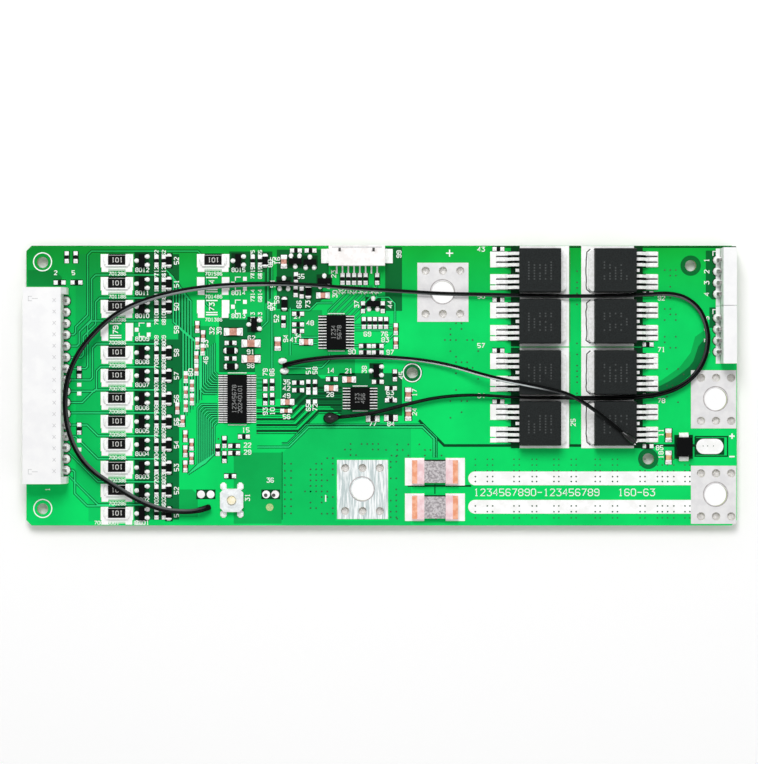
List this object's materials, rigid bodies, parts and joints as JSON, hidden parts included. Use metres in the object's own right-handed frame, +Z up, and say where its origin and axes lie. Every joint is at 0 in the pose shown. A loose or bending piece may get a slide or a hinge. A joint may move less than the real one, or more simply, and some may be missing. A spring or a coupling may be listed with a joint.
{
  "type": "battery management board",
  "caption": "Long green circuit board that guards a series battery pack, with power transistors, shunts, bolt-on terminal lands, white headers, a push switch and sensor leads.",
  "frame": {"origin": "under the middle of the board's outline, level with the tips of the header pins it rests on", "axes": "+X along the board from the long cell header to the output lands, +Y across it towards the signal socket, +Z up out of the parts side"},
  "size_m": [0.16, 0.063, 0.0095],
  "materials": {
    "bead_epoxy": "black epoxy",
    "capacitor_ceramic": "fired ceramic",
    "chip_metal": "plated ends with solder",
    "laminate": "green solder resist, semi-gloss",
    "lead_frame": "tin plate",
    "mould_compound": "black moulding compound",
    "nylon": "natural white nylon",
    "pin_tin": "tinned brass pins with solder",
    "sensor_sheath": "black insulation",
    "shunt_alloy": "matt rolled alloy",
    "shunt_copper": "bare copper",
    "socket_nylon": "natural white nylon",
    "switch_body": "moulded",
    "switch_button": "cream plastic",
    "switch_metal": "bright plate",
    "thick_film": "black glazed film",
    "tinned_copper": "hot-levelled solder, bright"
  },
  "bodies": {
    "board": {"bare_pads": "tinned_copper", "bleed_resistor_bodies": "thick_film", "bleed_resistor_caps": "chip_metal", "capacitor_chips": "capacitor_ceramic", "cell_header_housing": "nylon", "cell_header_pins": "pin_tin", "circuit_board": "laminate", "control_chip_body": "mould_compound", "control_chip_leads": "lead_frame", "current_strips": "tinned_copper", "driver_chip_body": "mould_compound", "driver_chip_leads": "lead_frame", "long_sensor_lead": "sensor_sheath", "lower_header_housing": "nylon", "lower_header_pins": "pin_tin", "monitor_chip_body": "mould_compound", "monitor_chip_leads": "lead_frame", "negative_battery_land": "tinned_copper", "negative_output_land": "tinned_copper", "positive_battery_land": "tinned_copper", "positive_output_land": "tinned_copper", "power_case_left_1": "mould_compound", "power_case_left_2": "mould_compound", "power_case_left_3": "mould_compound", "power_case_left_4": "mould_compound", "power_case_right_1": "mould_compound", "power_case_right_2": "mould_compound", "power_case_right_3": "mould_compound", "power_case_right_4": "mould_compound", "power_leads_left_1": "lead_frame", "power_leads_left_2": "lead_frame", "power_leads_left_3": "lead_frame", "power_leads_left_4": "lead_frame", "power_leads_right_1": "lead_frame", "power_leads_right_2": "lead_frame", "power_leads_right_3": "lead_frame", "power_leads_right_4": "lead_frame", "resistor_chips": "thick_film", "sensor_beads": "bead_epoxy", "short_sensor_lead": "sensor_sheath", "shunt_blocks": "shunt_copper", "shunt_elements": "shunt_alloy", "signal_socket_anchors": "lead_frame", "signal_socket_body": "socket_nylon", "signal_socket_contacts": "lead_frame", "small_diodes": "mould_compound", "small_transistor_bodies": "mould_compound", "small_transistor_leads": "lead_frame", "solder_spots": "tinned_copper", "surge_diode_body": "mould_compound", "surge_diode_tabs": "lead_frame", "switch_cover": "switch_metal", "switch_cup": "switch_body", "switch_dome": "switch_metal", "switch_legs": "switch_metal", "transistor_pads": "tinned_copper", "upper_header_housing": "nylon", "upper_header_pins": "pin_tin"},
    "button": {"switch_plunger": "switch_button"}
  },
  "joints": [
    {"name": "button_press", "type": "slide", "parent": "board", "child": "button", "axis": [0, 0, -1], "range_m": [0, 0.00025], "stiffness_N_per_m": 200}
  ]
}
